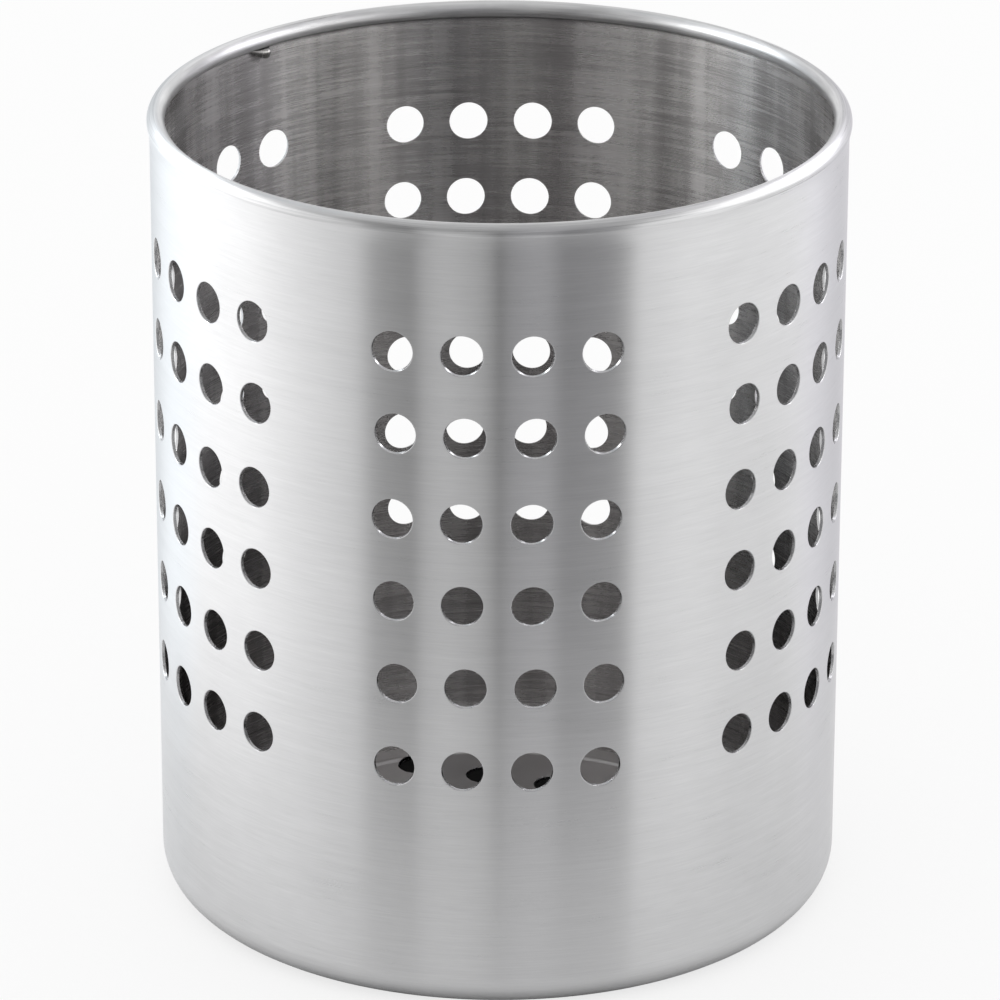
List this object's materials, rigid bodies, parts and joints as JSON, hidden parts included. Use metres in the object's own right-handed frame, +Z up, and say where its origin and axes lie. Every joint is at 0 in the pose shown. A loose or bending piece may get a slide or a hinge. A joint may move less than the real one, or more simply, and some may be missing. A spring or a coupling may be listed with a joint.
{
  "type": "cutlery holder",
  "caption": "Round free-standing cutlery holder in brushed steel: a perforated rolled wall with an inward curl at the mouth, welded to a pressed pan with drain holes.",
  "frame": {"origin": "middle of the underside, on the surface that the holder stands on", "axes": "+Z up along the holder's axis and out of its mouth; -Y is the front, where one group of holes faces; +X to the right seen from the front"},
  "size_m": [0.1208, 0.1208, 0.1432],
  "materials": {
    "wall_steel": "fine brushing round the wall, satin",
    "pan_steel": "brushed round the corner, satin pressed floor",
    "dressed_weld": "weld metal ground flush and brushed with the sheet",
    "raw_weld": "undressed weld bead, slightly glossy"
  },
  "bodies": {
    "root": {"side_wall": "wall_steel", "base_pan": "pan_steel", "seam_weld": "dressed_weld", "base_weld": "dressed_weld", "rim_tack_weld": "raw_weld"}
  },
  "joints": []
}
